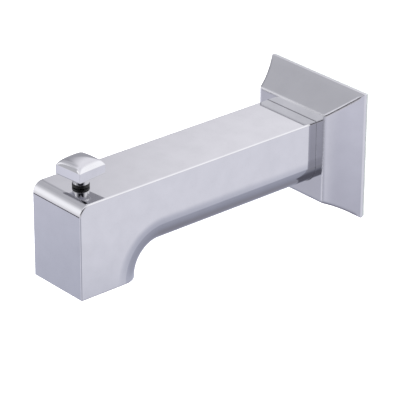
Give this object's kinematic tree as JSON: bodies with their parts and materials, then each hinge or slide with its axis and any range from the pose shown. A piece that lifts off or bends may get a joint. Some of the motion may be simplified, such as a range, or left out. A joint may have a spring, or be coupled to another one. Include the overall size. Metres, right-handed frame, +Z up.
{
  "type": "bath spout",
  "caption": "Square-section bath spout with a dropped nose, a flared square wall flange and a domed pull-up diverter knob on top.",
  "frame": {"origin": "on the inlet axis, in the plane of the finished wall, at the back face of the wall gasket", "axes": "+Y into the wall along the inlet axis, so the spout points to -Y; +Z up; +X to the right of someone facing the wall"},
  "size_m": [0.08, 0.2, 0.08],
  "materials": {
    "chrome_plate": "mirror polished plating",
    "gasket_rubber": "matte grey-green",
    "seal_rubber": "satin black",
    "plain_brass": "machined",
    "plain_steel": "machined",
    "moulded_plastic": "matte grey"
  },
  "bodies": {
    "spout": {"spout_body": "chrome_plate", "wall_flange": "chrome_plate", "wall_gasket": "gasket_rubber", "flange_grip_ring": "seal_rubber", "inlet_adapter": "plain_brass", "inlet_washer": "seal_rubber", "adapter_nut": "plain_brass", "waterway_tube": "plain_brass", "tube_o_ring_rear": "seal_rubber", "tube_o_ring_front": "seal_rubber", "valve_cup": "plain_brass", "seat_cap": "plain_brass", "cup_strap": "plain_steel", "strap_screw_left": "plain_steel", "strap_screw_right": "plain_steel", "stem_bushing": "plain_brass", "stem_o_ring": "seal_rubber", "rest_ring": "seal_rubber", "outlet_insert": "moulded_plastic"},
    "plunger": {"washer_retainer": "plain_brass", "plunger_washer": "seal_rubber", "plunger_disc": "plain_brass"},
    "knob": {"lift_knob": "chrome_plate", "lift_rod": "plain_steel", "plunger_nut": "plain_brass"}
  },
  "joints": [
    {"name": "diverter_lift", "type": "slide", "parent": "spout", "child": "plunger", "axis": [0, 0, 1], "range_m": [0, 0.01]},
    {"name": "knob_turn", "type": "hinge", "parent": "plunger", "child": "knob", "pos_m": [0, -0.1825, 0.03], "axis": [0, 0, 1], "continuous": true}
  ]
}
